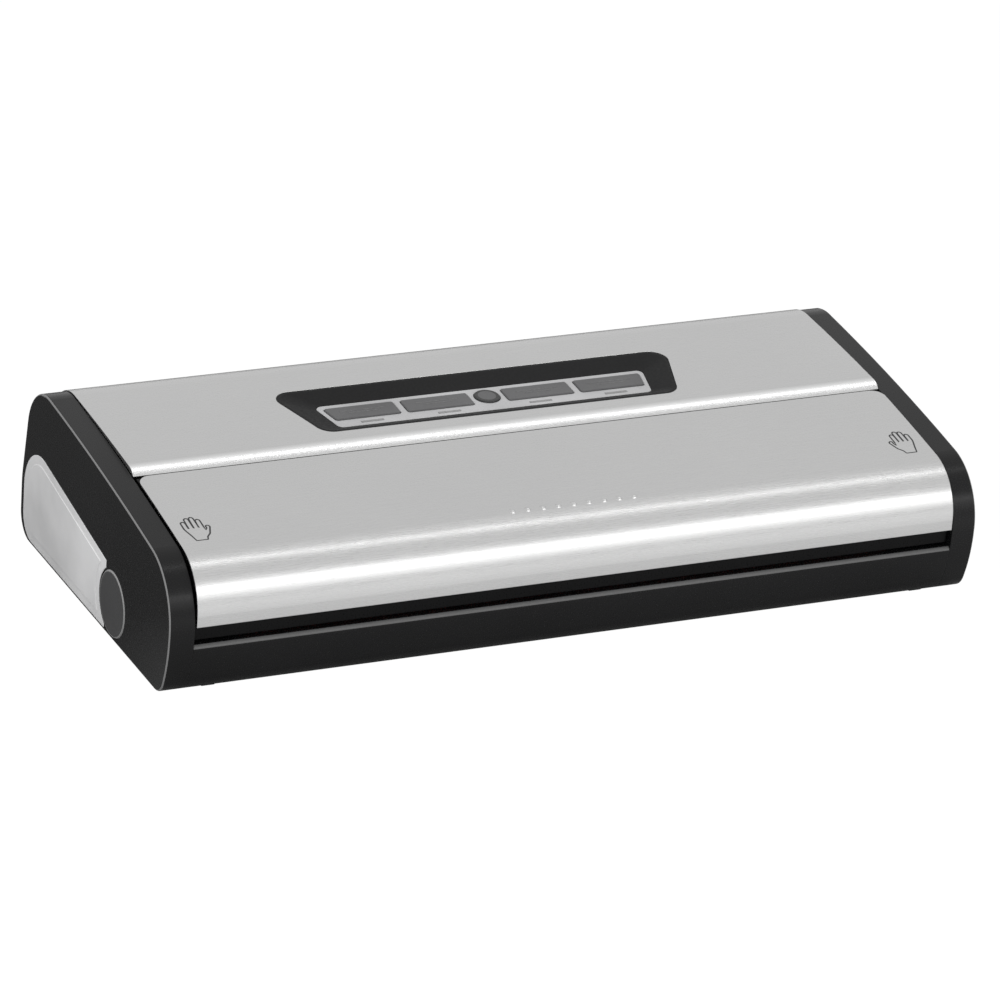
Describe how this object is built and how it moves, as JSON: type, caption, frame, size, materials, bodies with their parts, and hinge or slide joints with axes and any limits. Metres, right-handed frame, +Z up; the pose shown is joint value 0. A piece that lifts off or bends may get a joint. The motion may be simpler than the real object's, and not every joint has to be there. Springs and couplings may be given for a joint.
{
  "type": "vacuum packing machine",
  "caption": "Low tabletop vacuum packing machine: steel lid and rear cover between black end caps, keypad on top, side release buttons, seal bar and vacuum trough under the lid.",
  "frame": {"origin": "on the table, under the middle of the machine's bounding box", "axes": "+X right along the length, -Y the front where the bag is laid, +Z up"},
  "size_m": [0.39, 0.184, 0.0805],
  "materials": {
    "brushed_steel_sheet": "fine brushing along the length, satin",
    "black_shell": "satin moulded black plastic",
    "black_liner": "fine textured black plastic",
    "silver_panel": "silver-grey painted plastic, satin",
    "button_grey": "dark grey moulded plastic",
    "key_grey": "mid grey keys",
    "catch_plastic": "natural moulded acetal",
    "spring_wire": "drawn spring wire",
    "steel_hardware": "plated screws and pins",
    "gasket_foam": "closed-cell black sealing foam",
    "red_silicone": "silicone pressure strip",
    "bar_aluminium": "extruded aluminium bar",
    "heating_ribbon": "nickel-chrome ribbon",
    "ptfe_cloth": "woven PTFE-coated glass cloth",
    "lens_plastic": "milky lamp lenses",
    "led_body": "light-emitting diodes",
    "green_board": "glass-fibre circuit board",
    "component_black": "moulded component bodies",
    "motor_can": "zinc-plated steel can",
    "pump_casting": "die-cast aluminium",
    "pump_plastic": "glass-filled nylon",
    "mount_rubber": "soft rubber",
    "hose_silicone": "translucent silicone tube",
    "valve_body": "solenoid valve body",
    "core_laminations": "varnished steel laminations",
    "coil_tape": "taped copper winding",
    "inlet_plastic": "black thermoplastic",
    "inlet_brass": "plated brass pins",
    "wire_pvc": "PVC insulated wires"
  },
  "bodies": {
    "base": {"base_screws": "steel_hardware", "base_tray": "black_shell", "board_components": "component_black", "board_screws": "steel_hardware", "cap_screws": "steel_hardware", "catch_springs": "spring_wire", "chamber_deck": "black_shell", "control_bezel": "black_liner", "cover_screws": "steel_hardware", "end_cap_left": "black_shell", "end_cap_right": "black_shell", "feet": "mount_rubber", "heating_strip": "heating_ribbon", "hinge_pins": "steel_hardware", "indicator_leds": "led_body", "indicator_lenses": "lens_plastic", "inlet_pins": "inlet_brass", "key_switches": "component_black", "keypad_board": "green_board", "keypad_plate": "silver_panel", "keypad_screws": "steel_hardware", "lid_switches": "component_black", "lower_gasket": "gasket_foam", "main_board": "green_board", "mains_inlet": "inlet_plastic", "pump_body": "pump_casting", "pump_cradle": "mount_rubber", "pump_head": "pump_plastic", "pump_motor": "motor_can", "rear_cover": "brushed_steel_sheet", "release_tape": "ptfe_cloth", "release_valve": "valve_body", "seal_bar": "bar_aluminium", "side_panel_left": "silver_panel", "side_panel_right": "silver_panel", "transformer_coil": "coil_tape", "transformer_core": "core_laminations", "vacuum_hose": "hose_silicone", "wiring": "wire_pvc"},
    "lid": {"lid_cover": "brushed_steel_sheet", "lid_frame": "black_shell", "lid_liner": "black_liner", "liner_screws": "steel_hardware", "lid_gasket": "gasket_foam", "pressure_strip": "red_silicone", "lid_hooks": "black_liner"},
    "release_button_left": {"release_button_left": "button_grey"},
    "release_button_right": {"release_button_right": "button_grey"},
    "catch_left": {"catch_left": "catch_plastic"},
    "catch_right": {"catch_right": "catch_plastic"},
    "key_far_left": {"key_far_left": "key_grey"},
    "key_near_left": {"key_near_left": "key_grey"},
    "key_round": {"key_round": "key_grey"},
    "key_near_right": {"key_near_right": "key_grey"},
    "key_far_right": {"key_far_right": "key_grey"},
    "motor_shaft": {"motor_shaft": "steel_hardware"},
    "pump_rod": {"pump_rod": "pump_plastic"}
  },
  "joints": [
    {"name": "lid_hinge", "type": "hinge", "parent": "base", "child": "lid", "pos_m": [0, -0.023, 0.063], "axis": [-1, 0, 0], "range_deg": [0, 65]},
    {"name": "left_button_press", "type": "slide", "parent": "base", "child": "release_button_left", "axis": [1, 0, 0], "range_m": [0, 0.004]},
    {"name": "right_button_press", "type": "slide", "parent": "base", "child": "release_button_right", "axis": [-1, 0, 0], "range_m": [0, 0.004]},
    {"name": "left_catch_slide", "type": "slide", "parent": "base", "child": "catch_left", "axis": [0, 1, 0], "range_m": [0, 0.004]},
    {"name": "right_catch_slide", "type": "slide", "parent": "base", "child": "catch_right", "axis": [0, 1, 0], "range_m": [0, 0.004]},
    {"name": "key_far_left_press", "type": "slide", "parent": "base", "child": "key_far_left", "axis": [0, 0.0786, -0.9969], "range_m": [0, 0.0006]},
    {"name": "key_near_left_press", "type": "slide", "parent": "base", "child": "key_near_left", "axis": [0, 0.0786, -0.9969], "range_m": [0, 0.0006]},
    {"name": "key_round_press", "type": "slide", "parent": "base", "child": "key_round", "axis": [0, 0.0786, -0.9969], "range_m": [0, 0.0006]},
    {"name": "key_near_right_press", "type": "slide", "parent": "base", "child": "key_near_right", "axis": [0, 0.0786, -0.9969], "range_m": [0, 0.0006]},
    {"name": "key_far_right_press", "type": "slide", "parent": "base", "child": "key_far_right", "axis": [0, 0.0786, -0.9969], "range_m": [0, 0.0006]},
    {"name": "motor_spin", "type": "hinge", "parent": "base", "child": "motor_shaft", "pos_m": [-0.09, 0.042, 0.031], "axis": [1, 0, 0], "continuous": true},
    {"name": "pump_stroke", "type": "slide", "parent": "base", "child": "pump_rod", "axis": [0, 0, 1], "range_m": [-0.002, 0.002]}
  ],
  "couplings": [
    {"joint": "left_catch_slide", "follows": "left_button_press", "ratio": 1},
    {"joint": "right_catch_slide", "follows": "right_button_press", "ratio": 1}
  ]
}
